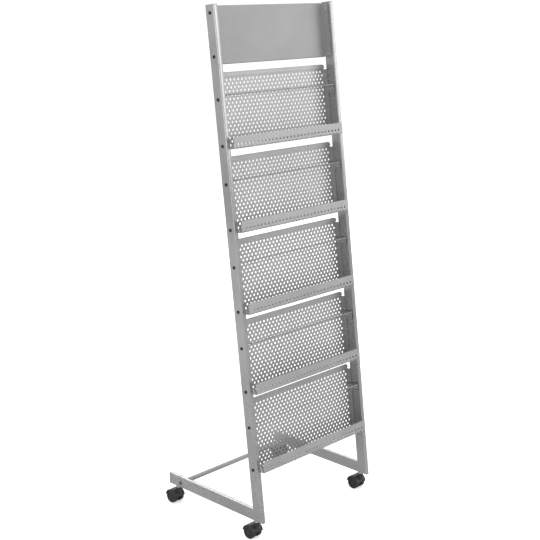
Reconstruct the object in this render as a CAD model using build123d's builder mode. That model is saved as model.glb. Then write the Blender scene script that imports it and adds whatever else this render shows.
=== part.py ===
"""Mobile five-tray brochure rack, modelled piece by piece.

Two rectangular steel tube posts lean back from two floor rails and are welded to them in a mitre.
Between the posts hang a plain header panel and five folded brochure trays, each with a retainer wire.
A small crossbar ties the rails at the back, and four twin-wheel casters carry the rack.

Frame: +X is the right-hand side seen from the front, the front faces -Y, +Z is up, and the origin
is on the floor under the middle of the rack. Millimetres.
"""
from build123d import *
from math import cos, radians, sin
import os

os.makedirs("parts", exist_ok=True)

# Overall sizes
rack_width = 480.0              # across the outer faces of the posts
post_length = 1456.0            # along a post's front face, from the tip of its foot
lean_angle = 7.0                # degrees that the posts lean back
rail_length = 400.0             # from the foot's tip to the rail's rear end

# Steel tube of the posts and rails
tube_depth = 34.0
tube_width = 14.0
tube_wall = 1.5
tube_corner = 2.5
cap_thickness = 1.6
cap_plug = 12.0                 # how far a cap's plug goes into its tube
cap_plug_wall = 1.5
plug_gap = 0.1                  # around a plug inside its tube

# Trays
tray_count = 5
tray_pitch = 230.0
first_tray_top = 1277.5         # along the post
tray_height = 207.5
tray_setback = 8.0              # from the posts' rear faces to the back panel's front face
lip_reach = 12.0                # from the posts' front faces to the lip's rear face
lip_height = 33.0
sheet = 1.2                     # thickness of the folded sheet
bend_radius = 3.0               # outside radius of a fold
hem_height = 12.0               # top edge of the back panel, folded down over its front
hem_gap = 1.5                   # between the hem and the panel
tray_corner = 10.0              # rounded corners of the back panel's top
lip_corner = 5.0
side_flange = 13.0              # depth of the flange along each side of the back panel
spacer = 2.0                    # washer between a post and a tray

# Tray and header fixings
upper_screw_drop = 72.5         # from a tray's top to its upper screw
lower_screw_rise = 9.5          # from a tray's underside to its lower screw
upper_lug = 12.0                # radius of the rounded end of an upper lug
lower_lug = 9.0
screw_diameter = 5.0
screw_head = 9.5
screw_head_height = 2.4
screw_socket = 3.0              # across flats
screw_socket_depth = 1.5
screw_hole = 5.4
nut_diameter = 10.0
nut_height = 4.0
nut_end = 0.8                   # closed end of a nut
screw_end_gap = 0.2             # from a screw's tip to its nut's closed end
thread_gap = 0.05               # radial, between a thread and what it is screwed into
washer_diameter = 12.0

# Retainer wires
wire_diameter = 3.5
wire_drop = 61.5                # from a tray's top to its wire's centre line
wire_bend = 7.0                 # centre-line radius of a corner
wire_end_gap = 2.0              # from the back panel to the end of a leg
weld_length = 12.0
weld_height = 2.4

# Header panel
header_height = 157.5
header_return = 10.0            # top and bottom edges, folded back
header_flange = 24.0            # side edges, folded forward
header_screw_inset = 21.0       # from the top and the bottom edge to the screws

# Crossbar between the rails
bar_depth = 12.0
bar_height = 10.0
bar_wall = 1.2
bar_corner = 1.2
bar_setback = 50.0              # from the rails' rear ends to its centre line
bar_rise = 15.0                 # from the rails' underside to its centre line
bar_bolt = 6.0
bar_bolt_head = 11.0
bar_bolt_head_height = 3.0
bar_bolt_socket = 4.0
bar_bolt_socket_depth = 1.8
bar_bolt_hole = 6.4
bar_plug = 20.0                 # length of the threaded plug in each end

# Casters
wheel_diameter = 40.0
wheel_width = 14.5
wheel_edge = 3.0                # rounding of the tread's shoulders
wheel_recess = 2.5              # dish in a wheel's outer face
wheel_recess_diameter = 29.0
web_width = 8.0                 # hood wall between the two wheels
side_gap = 0.5                  # between the web and a wheel
hood_gap = 0.9                  # between the tread and the hood
hood_wall = 1.6
hood_edge_rise = 2.0            # from the axle up to the hood's lower edge
trail = 16.0                    # from the stem's axis back to the axle
axle_diameter = 5.0
axle_head = 8.0
axle_head_height = 1.5
axle_gap = 0.05                 # radial, in a wheel
axle_seat_gap = 0.02            # radial, in the web
axle_end_gap = 0.3              # between a wheel and the axle's head
boss_diameter = 17.0
boss_top = 51.5
boss_bottom = 34.0
stem_flange_height = 5.0
stem_flange = 13.0              # across flats
stem_thread = 8.0
stem_thread_length = 15.0
pin_diameter = 7.0
pin_gap = 0.05                  # radial, in the boss
pin_length = 14.0
insert_diameter = 10.4
insert_length = 16.0
insert_gap = 0.05               # radial, in the rail's wall
caster_height = 57.0            # floor to the underside of the rails
front_caster_inset = 30.0       # from the foot's tip to a front stem
rear_caster_inset = 32.0        # from the rail's rear end to a rear stem

# Sizes that follow
half_width = rack_width / 2
inner_face = half_width - tube_width
tray_half = inner_face - spacer
wheel_radius = wheel_diameter / 2
hood_radius = wheel_radius + hood_gap + hood_wall
hood_half = web_width / 2 + side_gap + wheel_width + side_gap
rear_caster = rail_length - rear_caster_inset
depth = rear_caster + trail + hood_radius
front_y = -depth / 2
rear_y = front_y + rail_length
rail_z = caster_height
tube_x = half_width - tube_width / 2
screw_depth = tube_depth / 2
panel_front = tube_depth + tray_setback
panel_rear = panel_front + sheet
lip_front = -lip_reach - sheet
hem_front = panel_front - hem_gap - sheet
hem_radius = 0.48 * (panel_rear - hem_front)
hands = (-1, 1)                 # left and right
tray_tops = [first_tray_top - tray_pitch * number for number in range(tray_count)]
header_screws = [post_length - header_screw_inset,
                 post_length - header_height + header_screw_inset]
tray_screws = [height for top in tray_tops
               for height in (top - upper_screw_drop, top - tray_height + lower_screw_rise)]

# Working planes. On the leaning plane X is across, Y is the depth behind the posts' front faces
# and Z runs up the posts. On the side plane X is that depth and Y runs up the posts. On the front
# plane X is across and Y runs up the posts.
up = (0, sin(radians(lean_angle)), cos(radians(lean_angle)))
back = (0, cos(radians(lean_angle)), -sin(radians(lean_angle)))
tip = (0, front_y, rail_z)
leaning = Plane(origin=tip, x_dir=(1, 0, 0), z_dir=up)
side = Plane(origin=tip, x_dir=back, z_dir=(1, 0, 0))
front = Plane(origin=tip, x_dir=(1, 0, 0), z_dir=(0, -cos(radians(lean_angle)), sin(radians(lean_angle))))
mitre_angle = radians((90 - lean_angle) / 2)
mitre = Plane(origin=tip, x_dir=(1, 0, 0), z_dir=(0, -sin(mitre_angle), cos(mitre_angle)))


def save(piece, name):
    """Label one finished piece and write its STEP file."""
    piece.label = name
    export_step(piece, f"parts/{name}.step")


def save_pair(piece, name):
    """Write a left-hand piece, and its mirror image as the right-hand one."""
    save(piece, f"left_{name}")
    save(mirror(piece, about=Plane.YZ), f"right_{name}")


def tube_section(width, height, corner, wall):
    """Draw a hollow rounded rectangle round each active location."""
    RectangleRounded(width, height, corner)
    RectangleRounded(width - 2 * wall, height - 2 * wall, max(corner - wall, 0.3), mode=Mode.SUBTRACT)


def place_all(piece, planes):
    """Return one part with a copy of the piece on each plane."""
    with BuildPart() as group:
        for plane in planes:
            add(piece.moved(plane.location))
    return group.part


# Posts: tube, cut square at the top and mitred at the foot, drilled for the tray and header screws
with BuildPart() as post:
    with BuildSketch(leaning.offset(-tube_depth)):
        with Locations((-tube_x, tube_depth / 2)):
            tube_section(tube_width, tube_depth, tube_corner, tube_wall)
    extrude(amount=post_length + tube_depth)
    split(bisect_by=mitre, keep=Keep.TOP)
    with BuildSketch(side.offset(-half_width)):
        with Locations(*[(screw_depth, height) for height in tray_screws + header_screws]):
            Circle(screw_hole / 2)
    extrude(amount=tube_width, mode=Mode.SUBTRACT)
save_pair(post.part, "post")

# Floor rails: the same tube on edge, with holes for two caster inserts and the crossbar bolt
with BuildPart() as rail:
    with BuildSketch(Plane.XZ.offset(-rear_y)):
        with Locations((-tube_x, rail_z + tube_depth / 2)):
            tube_section(tube_width, tube_depth, tube_corner, tube_wall)
    extrude(amount=rail_length)
    split(bisect_by=mitre, keep=Keep.BOTTOM)
    with BuildSketch(Plane.XY.offset(rail_z)):
        with Locations((-tube_x, front_y + front_caster_inset), (-tube_x, front_y + rear_caster)):
            Circle(insert_diameter / 2 + insert_gap)
    extrude(amount=tube_corner, mode=Mode.SUBTRACT)
    with BuildSketch(Plane.YZ.offset(-half_width)):
        with Locations((rear_y - bar_setback, rail_z + bar_rise)):
            Circle(bar_bolt_hole / 2)
    extrude(amount=tube_width, mode=Mode.SUBTRACT)
save_pair(rail.part, "base_rail")


# Tube caps: a plate over the tube's end with a hollow plug inside it
def tube_cap(end, across, along):
    """Return a cap on the end plane, centred on the tube at the given place."""
    with BuildPart() as cap:
        with BuildSketch(end):
            with Locations((across, along)):
                RectangleRounded(tube_width, tube_depth, tube_corner)
        extrude(amount=cap_thickness)
        with BuildSketch(end):
            with Locations((across, along)):
                bore = 2 * (tube_wall + plug_gap)
                tube_section(tube_width - bore, tube_depth - bore, tube_corner - tube_wall, cap_plug_wall)
        extrude(amount=-cap_plug)
    return cap.part


save_pair(tube_cap(leaning.offset(post_length), -tube_x, tube_depth / 2), "post_cap")
rail_end = Plane(origin=(0, rear_y, rail_z), x_dir=(-1, 0, 0), z_dir=(0, 1, 0))
save_pair(tube_cap(rail_end, tube_x, tube_depth / 2), "rail_cap")

# Crossbar: small tube between the rails, with a threaded plug in each end and a bolt through each rail
bar_axis = Plane(origin=(0, rear_y - bar_setback, rail_z + bar_rise), x_dir=(0, 1, 0), z_dir=(1, 0, 0))
with BuildPart() as crossbar:
    with BuildSketch(bar_axis):
        tube_section(bar_depth, bar_height, bar_corner, bar_wall)
    extrude(amount=inner_face, both=True)
save(crossbar.part, "rear_crossbar")

with BuildPart() as bar_plugs:
    with BuildSketch(bar_axis.offset(inner_face - bar_plug)):
        bore = 2 * (bar_wall + plug_gap)
        Rectangle(bar_depth - bore, bar_height - bore)
        Circle(bar_bolt / 2 + thread_gap, mode=Mode.SUBTRACT)
    extrude(amount=bar_plug)
    mirror(about=Plane.YZ)
save(bar_plugs.part, "crossbar_plugs")


def button_screw(diameter, length, head, head_height, socket, socket_depth):
    """Return a socket button-head screw on XY, its head above the plane and its shank below it."""
    with BuildPart() as screw:
        with BuildSketch():
            Circle(head / 2)
        extrude(amount=head_height)
        fillet(screw.edges().sort_by(Axis.Z)[-1], head_height * 0.7)
        with BuildSketch(Plane.XY.offset(head_height)):
            RegularPolygon(socket / 2, 6, major_radius=False)
        extrude(amount=-socket_depth, mode=Mode.SUBTRACT)
        with BuildSketch():
            Circle(diameter / 2)
        extrude(amount=-length)
        chamfer(screw.edges().sort_by(Axis.Z)[0], diameter / 10)
    return screw.part


def screw_plane(x, depth_in, height, sign):
    """Return the plane of a screw head on a post's outer face, facing outwards."""
    place = side.offset(sign * x).from_local_coords((depth_in, height, 0))
    return Plane(origin=place, x_dir=back, z_dir=(sign, 0, 0))


grip = nut_height - nut_end - screw_end_gap
tray_screw = button_screw(screw_diameter, tube_width + spacer + sheet + grip, screw_head,
                          screw_head_height, screw_socket, screw_socket_depth)
for hand, sign in (("left", -1), ("right", 1)):
    planes = [screw_plane(half_width, screw_depth, height, sign) for height in tray_screws]
    save(place_all(tray_screw, planes), f"{hand}_tray_screws")

header_screw = button_screw(screw_diameter, tube_width + sheet + grip, screw_head,
                            screw_head_height, screw_socket, screw_socket_depth)
save(place_all(header_screw, [screw_plane(half_width, screw_depth, height, sign)
                              for height in header_screws for sign in (-1, 1)]), "header_screws")

bar_screw = button_screw(bar_bolt, tube_width + bar_plug * 0.8, bar_bolt_head, bar_bolt_head_height,
                         bar_bolt_socket, bar_bolt_socket_depth)
save(place_all(bar_screw, [Plane(origin=(sign * half_width, rear_y - bar_setback, rail_z + bar_rise),
                                 x_dir=(0, 1, 0), z_dir=(sign, 0, 0)) for sign in (-1, 1)]),
     "crossbar_bolts")

# Closed nuts clinched into the lugs of the trays and the flanges of the header, and the trays' washers
with BuildPart() as nut:
    with BuildSketch():
        Circle(nut_diameter / 2)
    extrude(amount=-nut_height)
    chamfer(nut.edges().sort_by(Axis.Z)[0], 0.6)
    with BuildSketch():
        Circle(screw_diameter / 2 + thread_gap)
    extrude(amount=nut_end - nut_height, mode=Mode.SUBTRACT)
with BuildPart() as washer:
    with BuildSketch():
        Circle(washer_diameter / 2)
        Circle(screw_hole / 2, mode=Mode.SUBTRACT)
    extrude(amount=-spacer)
save(place_all(nut.part, [screw_plane(tray_half - sheet, screw_depth, height, sign)
                          for height in tray_screws for sign in hands]), "tray_nuts")
save(place_all(washer.part, [screw_plane(inner_face, screw_depth, height, sign)
                             for height in tray_screws for sign in hands]), "tray_washers")
save(place_all(nut.part, [screw_plane(inner_face - sheet, screw_depth, height, sign)
                          for height in header_screws for sign in hands]), "header_nuts")

# Header panel: plain sheet level with the posts' rear faces, sides folded forward, edges folded back
header_bottom = post_length - header_height
with BuildPart() as header:
    with BuildSketch(side):
        with BuildLine():
            FilletPolyline((tube_depth + header_return, header_bottom), (tube_depth - sheet, header_bottom),
                           (tube_depth - sheet, post_length), (tube_depth + header_return, post_length),
                           radius=bend_radius)
            offset(amount=sheet, side=Side.RIGHT)
        make_face()
    extrude(amount=inner_face, both=True)
    with BuildSketch(side.offset(inner_face - sheet)):
        with Locations((tube_depth - header_flange / 2, post_length - header_height / 2)):
            Rectangle(header_flange, header_height - 2 * bend_radius)
        with Locations(*[(screw_depth, height) for height in header_screws]):
            Circle(screw_hole / 2, mode=Mode.SUBTRACT)
    extrude(amount=sheet)
    mirror(about=Plane.YZ)
save(header.part, "header_panel")


# Trays: one folded sheet each, with a side flange and two screw lugs at each end
def brochure_tray(top):
    """Return the tray whose back panel's top is at this height along the posts."""
    bottom = top - tray_height
    upper = top - upper_screw_drop
    lower = bottom + lower_screw_rise
    with BuildPart() as tray:
        with BuildSketch(side):
            with BuildLine():
                FilletPolyline((hem_front, top - hem_height), (hem_front, top), (panel_rear, top),
                               (panel_rear, bottom), (lip_front, bottom), (lip_front, bottom + lip_height),
                               radius=[hem_radius, hem_radius, bend_radius, bend_radius])
                offset(amount=sheet, side=Side.RIGHT)
            make_face()
        extrude(amount=tray_half, both=True)
        corners = tray.edges().filter_by(lambda edge: abs(edge.length - sheet) < 0.05)
        lip_middle = bottom + lip_height / 2
        fillet(corners.filter_by(lambda edge: leaning.to_local_coords(edge.center()).Y < 0
                                 and leaning.to_local_coords(edge.center()).Z > lip_middle), lip_corner)
        with BuildSketch(front.offset(-panel_rear)):
            with Locations(*[(sign * (tray_half - tray_corner / 2), top - tray_corner / 2) for sign in hands]):
                Rectangle(tray_corner, tray_corner)
            with Locations(*[(sign * (tray_half - tray_corner), top - tray_corner) for sign in hands]):
                Circle(tray_corner, mode=Mode.SUBTRACT)
        extrude(amount=panel_rear - tube_depth, mode=Mode.SUBTRACT)
        with BuildSketch(side.offset(tray_half - sheet)):
            flange_top = top - hem_height - bend_radius
            with Locations((panel_rear - side_flange / 2, (flange_top + bottom + bend_radius) / 2)):
                Rectangle(side_flange, flange_top - bottom - bend_radius)
            for height, radius in ((upper, upper_lug), (lower, lower_lug)):
                with Locations(((screw_depth + panel_front) / 2, height)):
                    Rectangle(panel_front - screw_depth, 2 * radius)
                with Locations((screw_depth, height)):
                    Circle(radius)
                    Circle(screw_hole / 2, mode=Mode.SUBTRACT)
        extrude(amount=sheet)
        mirror(about=Plane.YZ)
    return tray.part


# Retainer wires: a U of round wire, its legs run back beside the upper lugs and are welded to them
def retainer_wire(top):
    """Return the wire of the tray with this top."""
    leg = tray_half - sheet - wire_diameter / 2
    plane = leaning.offset(top - wire_drop)
    end = panel_front - wire_end_gap
    start = Plane(origin=plane.from_local_coords((-leg, end, 0)), x_dir=(1, 0, 0), z_dir=back)
    with BuildPart() as wire:
        with BuildLine(plane):
            FilletPolyline((-leg, end), (-leg, 0), (leg, 0), (leg, end), radius=wire_bend)
        with BuildSketch(start):
            Circle(wire_diameter / 2)
        sweep()
        with BuildSketch(leaning.offset(top - wire_drop - weld_height / 2)):
            with Locations((tray_half - sheet - wire_diameter / 4, screw_depth + weld_length / 2)):
                Rectangle(wire_diameter / 2, weld_length)
        extrude(amount=weld_height)
        mirror(about=Plane.YZ)
    return wire.part


for number, top in enumerate(tray_tops, start=1):
    save(brochure_tray(top), f"brochure_tray_{number}")
    save(retainer_wire(top), f"retainer_wire_{number}")

# Caster pieces, modelled with the stem's axis on Z and the floor at Z = 0
with BuildPart() as hood:
    with BuildSketch(Plane.YZ):
        with Locations((trail, wheel_radius)):
            Circle(hood_radius)
        with Locations((trail, wheel_radius + hood_edge_rise - hood_radius)):
            Rectangle(2 * hood_radius, 2 * hood_radius, mode=Mode.SUBTRACT)
    extrude(amount=hood_half, both=True)
    fillet(hood.edges().filter_by(GeomType.CIRCLE), hood_wall * 0.9)
    with BuildSketch(Plane.XY.offset(boss_bottom)):
        Circle(boss_diameter / 2)
    extrude(amount=boss_top - boss_bottom)
    fillet(hood.edges().sort_by(Axis.Z)[-1], 1.5)
    for sign in hands:
        with BuildSketch(Plane.YZ.offset(sign * web_width / 2)):
            with Locations((trail, wheel_radius)):
                Circle(wheel_radius + hood_gap)
        extrude(amount=sign * hood_half, mode=Mode.SUBTRACT)
    with BuildSketch(Plane.YZ):
        with Locations((trail, wheel_radius)):
            Circle(wheel_radius * 0.8)
    extrude(amount=web_width / 2, both=True)
    with BuildSketch(Plane.YZ):
        with Locations((trail, wheel_radius)):
            Circle(axle_diameter / 2 + axle_seat_gap)
    extrude(amount=web_width, both=True, mode=Mode.SUBTRACT)
    with BuildSketch(Plane.XY.offset(boss_top)):
        Circle(pin_diameter / 2 + pin_gap)
    extrude(amount=-pin_length, mode=Mode.SUBTRACT)

stem_shoulder = caster_height - stem_flange_height
with BuildPart() as stem:
    with BuildSketch(Plane.XY.offset(stem_shoulder)):
        RegularPolygon(stem_flange / 2, 6, major_radius=False)
    extrude(amount=stem_flange_height)
    with BuildSketch(Plane.XY.offset(caster_height)):
        Circle(stem_thread / 2)
    extrude(amount=stem_thread_length)
    chamfer(stem.edges().sort_by(Axis.Z)[-1], 1)
    with BuildSketch(Plane.XY.offset(stem_shoulder)):
        Circle(pin_diameter / 2)
    extrude(amount=boss_top - pin_length + 1 - stem_shoulder)

head_start = web_width / 2 + side_gap + wheel_width - wheel_recess + axle_end_gap
with BuildPart() as axle:
    with BuildSketch(Plane.YZ):
        with Locations((trail, wheel_radius)):
            Circle(axle_diameter / 2)
    extrude(amount=head_start, both=True)
    with BuildSketch(Plane.YZ.offset(head_start)):
        with Locations((trail, wheel_radius)):
            Circle(axle_head / 2)
    extrude(amount=axle_head_height)
    mirror(about=Plane.YZ)

with BuildPart() as wheel:
    with BuildSketch(Plane.YZ.offset(web_width / 2 + side_gap)):
        with Locations((trail, wheel_radius)):
            Circle(wheel_radius)
    extrude(amount=wheel_width)
    fillet(wheel.edges(), wheel_edge)
    with BuildSketch(Plane.YZ.offset(web_width / 2 + side_gap + wheel_width)):
        with Locations((trail, wheel_radius)):
            Circle(wheel_recess_diameter / 2)
    extrude(amount=-wheel_recess, mode=Mode.SUBTRACT)
    with BuildSketch(Plane.YZ):
        with Locations((trail, wheel_radius)):
            Circle(axle_diameter / 2 + axle_gap)
    extrude(amount=hood_half, mode=Mode.SUBTRACT)

with BuildPart() as insert:
    with BuildSketch(Plane.XY.offset(rail_z)):
        Circle(insert_diameter / 2)
        Circle(stem_thread / 2 + thread_gap, mode=Mode.SUBTRACT)
    extrude(amount=insert_length)

caster_places = {"front_left": (-tube_x, front_y + front_caster_inset),
                 "front_right": (tube_x, front_y + front_caster_inset),
                 "rear_left": (-tube_x, front_y + rear_caster),
                 "rear_right": (tube_x, front_y + rear_caster)}
for corner, (x, y) in caster_places.items():
    place = Location((x, y, 0))
    save(stem.part.moved(place), f"{corner}_caster_stem")
    save(hood.part.moved(place), f"{corner}_caster_hood")
    save(axle.part.moved(place), f"{corner}_caster_axle")
    save(mirror(wheel.part, about=Plane.YZ).moved(place), f"{corner}_caster_left_wheel")
    save(wheel.part.moved(place), f"{corner}_caster_right_wheel")
save(place_all(insert.part, [Plane(origin=(x, y, 0)) for x, y in caster_places.values()]),
     "caster_inserts")
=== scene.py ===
"""Brochure rack: the visual model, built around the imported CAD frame.

Each sub-assembly is a class that models its pieces with Blender's own tools and dresses them in a
finish. Sizes are in metres. Pieces of the leaning frame are modelled upright in the frame's own
axes (across, depth behind the posts' front faces, height along the posts) and then placed.
"""
import logging
import math
from collections.abc import Callable
from dataclasses import dataclass
from enum import Enum

import bmesh
import bpy
from mathutils import Matrix, Vector


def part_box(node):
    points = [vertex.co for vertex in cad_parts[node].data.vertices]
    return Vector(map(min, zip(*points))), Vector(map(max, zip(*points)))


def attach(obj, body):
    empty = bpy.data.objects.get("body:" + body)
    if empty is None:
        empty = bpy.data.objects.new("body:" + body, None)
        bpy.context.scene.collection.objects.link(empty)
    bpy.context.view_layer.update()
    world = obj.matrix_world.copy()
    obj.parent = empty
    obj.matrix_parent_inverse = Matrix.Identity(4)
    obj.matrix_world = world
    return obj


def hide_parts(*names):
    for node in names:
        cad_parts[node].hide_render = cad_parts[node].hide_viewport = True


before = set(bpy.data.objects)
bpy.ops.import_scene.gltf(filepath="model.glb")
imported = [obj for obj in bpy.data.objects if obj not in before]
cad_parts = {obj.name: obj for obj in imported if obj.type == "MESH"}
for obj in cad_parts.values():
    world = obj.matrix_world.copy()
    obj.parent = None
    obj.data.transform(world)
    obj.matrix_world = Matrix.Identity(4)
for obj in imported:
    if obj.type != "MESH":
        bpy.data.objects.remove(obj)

MM = 0.001
RIGHT_ANGLE = math.pi / 2
log = logging.getLogger("brochure_rack")


class Pick(Enum):
    """What a selection is made of."""

    POINTS = "VERT"
    EDGES = "EDGE"
    FACES = "FACE"


class Side(Enum):
    """The two sides of the rack, seen from the front."""

    LEFT = -1
    RIGHT = 1

    @property
    def word(self) -> str:
        """The side's name in lower case."""
        return self.name.lower()


class Corner(Enum):
    """The four corners that stand on casters."""

    FRONT_LEFT = "front_left"
    FRONT_RIGHT = "front_right"
    REAR_LEFT = "rear_left"
    REAR_RIGHT = "rear_right"


class Workpiece:
    """One mesh on the bench, with Blender's modelling tools as methods that can be chained."""

    def __init__(self, name: str) -> None:
        """Take the object just added and give it this name.

        Args:
            name: The piece's name.
        """
        self.obj: bpy.types.Object = bpy.context.object
        self.obj.name = name
        self.obj.data.name = name
        bpy.ops.object.transform_apply(location=True, rotation=True, scale=True)

    @staticmethod
    def clear_bench() -> None:
        """Leave edit mode and deselect every object."""
        if bpy.context.object and bpy.context.object.mode != "OBJECT":
            bpy.ops.object.mode_set(mode="OBJECT")
        bpy.ops.object.select_all(action="DESELECT")

    @classmethod
    def box(cls, name: str, size: tuple[float, float, float], centre: tuple[float, float, float]) -> "Workpiece":
        """Start from a box.

        Args:
            name: The piece's name.
            size: Its three sides.
            centre: Its middle.

        Returns:
            The new workpiece.
        """
        cls.clear_bench()
        bpy.ops.mesh.primitive_cube_add(size=1, location=centre, scale=size)
        return cls(name)

    @classmethod
    def sheet(cls, name: str, width: float, height: float, centre: tuple[float, float, float]) -> "Workpiece":
        """Start from an upright flat sheet that faces the front.

        Args:
            name: The piece's name.
            width: Its size across.
            height: Its size upwards.
            centre: Its middle.

        Returns:
            The new workpiece.
        """
        cls.clear_bench()
        bpy.ops.mesh.primitive_plane_add(size=1, location=centre, rotation=(RIGHT_ANGLE, 0, 0))
        bpy.context.object.scale = (width, height, 1)
        return cls(name)

    @classmethod
    def rod(cls, name: str, radius: float, length: float, sides: int,
            centre: tuple[float, float, float] = (0, 0, 0),
            turn: tuple[float, float, float] = (0, 0, 0)) -> "Workpiece":
        """Start from a short rod along Z.

        Args:
            name: The piece's name.
            radius: Its radius.
            length: Its length.
            sides: How many sides stand for its round face.
            centre: Its middle.
            turn: Rotation about the three axes.

        Returns:
            The new workpiece.
        """
        cls.clear_bench()
        bpy.ops.mesh.primitive_cylinder_add(vertices=sides, radius=radius, depth=length, location=centre, rotation=turn)
        return cls(name)

    @classmethod
    def ring(cls, name: str, radius: float, sides: int, centre: tuple[float, float, float],
             turn: tuple[float, float, float] = (RIGHT_ANGLE, 0, 0)) -> "Workpiece":
        """Start from a bare circle, upright unless it is turned.

        Args:
            name: The piece's name.
            radius: Its radius.
            sides: How many points it has.
            centre: Its middle.
            turn: Rotation about the three axes.

        Returns:
            The new workpiece.
        """
        cls.clear_bench()
        bpy.ops.mesh.primitive_circle_add(vertices=sides, radius=radius, location=centre, rotation=turn)
        return cls(name)

    def edit(self) -> "Workpiece":
        """Open this piece alone in edit mode."""
        if self.obj.mode != "EDIT" or bpy.context.object is not self.obj:
            self.clear_bench()
            bpy.context.view_layer.objects.active = self.obj
            self.obj.select_set(True)
            bpy.ops.object.mode_set(mode="EDIT")
        return self

    def down(self) -> "Workpiece":
        """Close edit mode and leave this piece selected and active."""
        self.clear_bench()
        bpy.context.view_layer.objects.active = self.obj
        self.obj.select_set(True)
        return self

    def pick(self, kind: Pick, test: Callable[[Vector, Vector], bool]) -> "Workpiece":
        """Select the elements that pass a test.

        Args:
            kind: Points, edges or faces.
            test: Takes an element's middle and its direction: a face's or point's normal, or the line of an edge.

        Returns:
            This workpiece.
        """
        self.edit()
        bpy.ops.mesh.select_mode(type=kind.value)
        bpy.ops.mesh.select_all(action="DESELECT")
        mesh = bmesh.from_edit_mesh(self.obj.data)
        if kind is Pick.POINTS:
            chosen = [v for v in mesh.verts if test(v.co, v.normal)]
        elif kind is Pick.EDGES:
            chosen = [e for e in mesh.edges
                      if test((e.verts[0].co + e.verts[1].co) / 2, (e.verts[1].co - e.verts[0].co).normalized())]
        else:
            chosen = [f for f in mesh.faces if test(f.calc_center_median(), f.normal)]
        for element in chosen:
            element.select_set(True)
        mesh.select_flush_mode()
        bmesh.update_edit_mesh(self.obj.data)
        return self

    def pick_numbers(self, numbers: list[int]) -> "Workpiece":
        """Select points by their numbers in the mesh."""
        self.edit()
        bpy.ops.mesh.select_mode(type="VERT")
        bpy.ops.mesh.select_all(action="DESELECT")
        mesh = bmesh.from_edit_mesh(self.obj.data)
        mesh.verts.ensure_lookup_table()
        for number in numbers:
            mesh.verts[number].select = True
        mesh.select_flush_mode()
        bmesh.update_edit_mesh(self.obj.data)
        return self

    def pick_all(self) -> "Workpiece":
        """Select the whole mesh."""
        self.edit()
        bpy.ops.mesh.select_all(action="SELECT")
        return self

    def extrude(self, x: float, y: float, z: float) -> "Workpiece":
        """Extrude the selection by a move."""
        bpy.ops.mesh.extrude_region_move(TRANSFORM_OT_translate={"value": (x, y, z)})
        return self

    def bevel(self, width: float, segments: int) -> "Workpiece":
        """Round the selected edges."""
        bpy.ops.mesh.bevel(offset=width, segments=segments, affect="EDGES", clamp_overlap=False)
        return self

    def inset(self, width: float, depth: float = 0.0) -> "Workpiece":
        """Inset the selected faces and move them along their normals."""
        bpy.ops.mesh.inset(thickness=width, depth=depth)
        return self

    def shift(self, x: float, y: float, z: float) -> "Workpiece":
        """Move the selection."""
        bpy.ops.transform.translate(value=(x, y, z))
        return self

    def turn(self, axis: str, angle: float, centre: tuple[float, float, float]) -> "Workpiece":
        """Turn the selection by the right-hand rule about an axis through a point.

        Args:
            axis: X, Y or Z.
            angle: Radians. The operator turns the other way without a window, so the sign is changed here.
            centre: A point on the axis.

        Returns:
            This workpiece.
        """
        bpy.ops.transform.rotate(value=-angle, orient_axis=axis, center_override=centre)
        return self

    def stretch(self, x: float, y: float, z: float, centre: tuple[float, float, float]) -> "Workpiece":
        """Scale the selection about a point."""
        bpy.ops.transform.resize(value=(x, y, z), center_override=centre)
        return self

    def cut(self, point: tuple[float, float, float], normal: tuple[float, float, float],
            clear: bool = False, fill: bool = False) -> "Workpiece":
        """Cut the selection with a plane.

        Args:
            point: A point on the plane.
            normal: The plane's normal.
            clear: Remove what lies on the normal's side.
            fill: Close the cut with a face.

        Returns:
            This workpiece.
        """
        bpy.ops.mesh.bisect(plane_co=point, plane_no=normal, clear_outer=clear, use_fill=fill, threshold=1e-7)
        return self

    def spin(self, angle: float, steps: int, centre: tuple[float, float, float],
             axis: tuple[float, float, float]) -> "Workpiece":
        """Sweep the selection round an axis by the right-hand rule."""
        bpy.ops.mesh.spin(steps=steps, angle=-angle, center=centre, axis=axis)
        return self

    def close_ring(self) -> "Workpiece":
        """Fill the selected ring of edges with a face."""
        bpy.ops.mesh.edge_face_add()
        return self

    def weld(self, distance: float = 1e-5) -> "Workpiece":
        """Merge doubled points of the whole mesh."""
        self.pick_all()
        bpy.ops.mesh.remove_doubles(threshold=distance)
        return self

    def outward(self) -> "Workpiece":
        """Turn all faces outwards."""
        self.pick_all()
        bpy.ops.mesh.normals_make_consistent(inside=False)
        return self

    def finish_with(self, kind: str, **settings: object) -> "Workpiece":
        """Add a modifier and apply it.

        Args:
            kind: The modifier's type.
            **settings: Its properties.

        Returns:
            This workpiece.
        """
        self.down()
        modifier = self.obj.modifiers.new(kind.title(), kind)
        for key, value in settings.items():
            setattr(modifier, key, value)
        bpy.ops.object.modifier_apply(modifier=modifier.name)
        return self

    def smooth(self, degrees: float) -> "Workpiece":
        """Shade smooth across edges flatter than an angle."""
        self.down()
        bpy.ops.object.shade_smooth_by_angle(angle=math.radians(degrees))
        return self

    def place(self, matrix: Matrix) -> "Workpiece":
        """Move the piece and keep its place in its mesh."""
        self.down()
        self.obj.matrix_world = matrix
        bpy.ops.object.transform_apply(location=True, rotation=True, scale=True)
        return self

    def copy(self, name: str, matrix: Matrix) -> "Workpiece":
        """Copy the piece with its own mesh.

        Args:
            name: The copy's name.
            matrix: How the copy is moved from this piece.

        Returns:
            The copy.
        """
        self.down()
        bpy.ops.object.duplicate(linked=False)
        return Workpiece(name).place(matrix)

    def absorb(self, others: list["Workpiece"]) -> "Workpiece":
        """Join other pieces into this one."""
        self.down()
        for other in others:
            other.obj.select_set(True)
        bpy.ops.object.join()
        return self

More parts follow.
